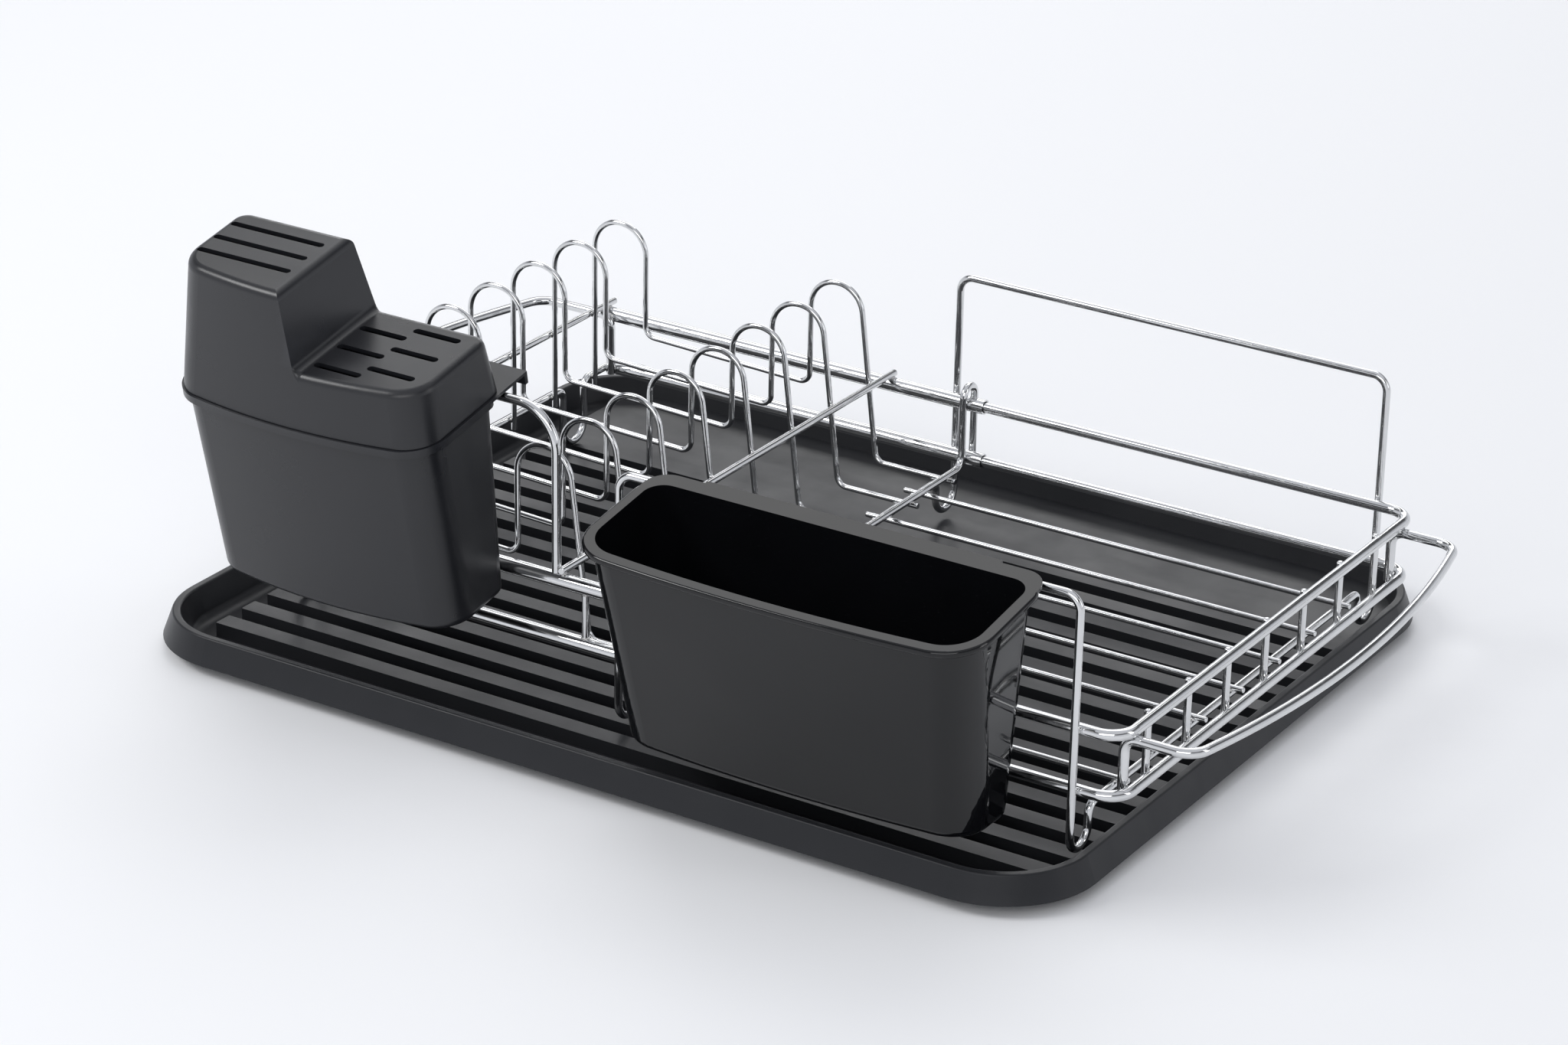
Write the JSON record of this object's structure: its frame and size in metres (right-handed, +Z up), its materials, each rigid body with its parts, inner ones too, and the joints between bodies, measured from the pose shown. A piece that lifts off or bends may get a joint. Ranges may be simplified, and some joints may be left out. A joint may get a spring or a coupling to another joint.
{
  "type": "dish drying rack",
  "caption": "Expandable wire dish rack with plate arches, a back fence and end handles, standing in a ribbed drip tray, with a hanging knife block and cutlery caddy.",
  "frame": {"origin": "centre of the tray's underside, on the surface that it stands on", "axes": "+X towards the half that pulls out, +Y to the back fence, +Z up"},
  "size_m": [0.6002, 0.4469, 0.2319],
  "materials": {
    "chrome_wire": "polished",
    "tray_plastic": "satin",
    "block_plastic": "soft matte",
    "caddy_plastic": "glossy"
  },
  "bodies": {
    "tray": {"drip_tray": "tray_plastic"},
    "left_frame": {"upper_tube_back": "chrome_wire", "lower_tube_back": "chrome_wire", "upper_tube_front": "chrome_wire", "lower_tube_front": "chrome_wire", "left_top_bar": "chrome_wire", "middle_bar": "chrome_wire", "left_foot_rod": "chrome_wire", "end_hoop": "chrome_wire", "tube_strut": "chrome_wire", "left_handle": "chrome_wire", "hook_loop": "chrome_wire", "plate_wire_1": "chrome_wire", "plate_wire_2": "chrome_wire", "plate_wire_3": "chrome_wire", "plate_wire_4": "chrome_wire", "plate_wire_5": "chrome_wire", "plate_wire_6": "chrome_wire", "plate_wire_7": "chrome_wire", "plate_wire_8": "chrome_wire"},
    "right_frame": {"upper_rail": "chrome_wire", "lower_rail": "chrome_wire", "end_post_1": "chrome_wire", "end_post_2": "chrome_wire", "end_post_3": "chrome_wire", "end_post_4": "chrome_wire", "end_post_5": "chrome_wire", "end_post_6": "chrome_wire", "end_post_7": "chrome_wire", "floor_rod_1": "chrome_wire", "floor_rod_2": "chrome_wire", "floor_rod_3": "chrome_wire", "floor_rod_4": "chrome_wire", "floor_rod_5": "chrome_wire", "floor_rod_6": "chrome_wire", "floor_rod_7": "chrome_wire", "fence_wire": "chrome_wire", "caddy_loop": "chrome_wire", "cross_rod_middle": "chrome_wire", "cross_rod_right": "chrome_wire", "right_handle": "chrome_wire"},
    "knife_block": {"knife_block_body": "block_plastic"},
    "knife_block_top": {"knife_block_lid": "block_plastic"},
    "caddy": {"cutlery_caddy": "caddy_plastic"}
  },
  "joints": [
    {"name": "rack_lift", "type": "slide", "parent": "tray", "child": "left_frame", "axis": [0, 0, 1], "range_m": [0, 0.06]},
    {"name": "rack_extend", "type": "slide", "parent": "left_frame", "child": "right_frame", "axis": [1, 0, 0], "range_m": [-0.06, 0]},
    {"name": "block_lift", "type": "slide", "parent": "left_frame", "child": "knife_block", "axis": [0, 0, 1], "range_m": [0, 0.14]},
    {"name": "lid_lift", "type": "slide", "parent": "knife_block", "child": "knife_block_top", "axis": [0, 0, 1], "range_m": [0, 0.06]},
    {"name": "caddy_lift", "type": "slide", "parent": "right_frame", "child": "caddy", "axis": [0, 0, 1], "range_m": [0, 0.15]}
  ]
}
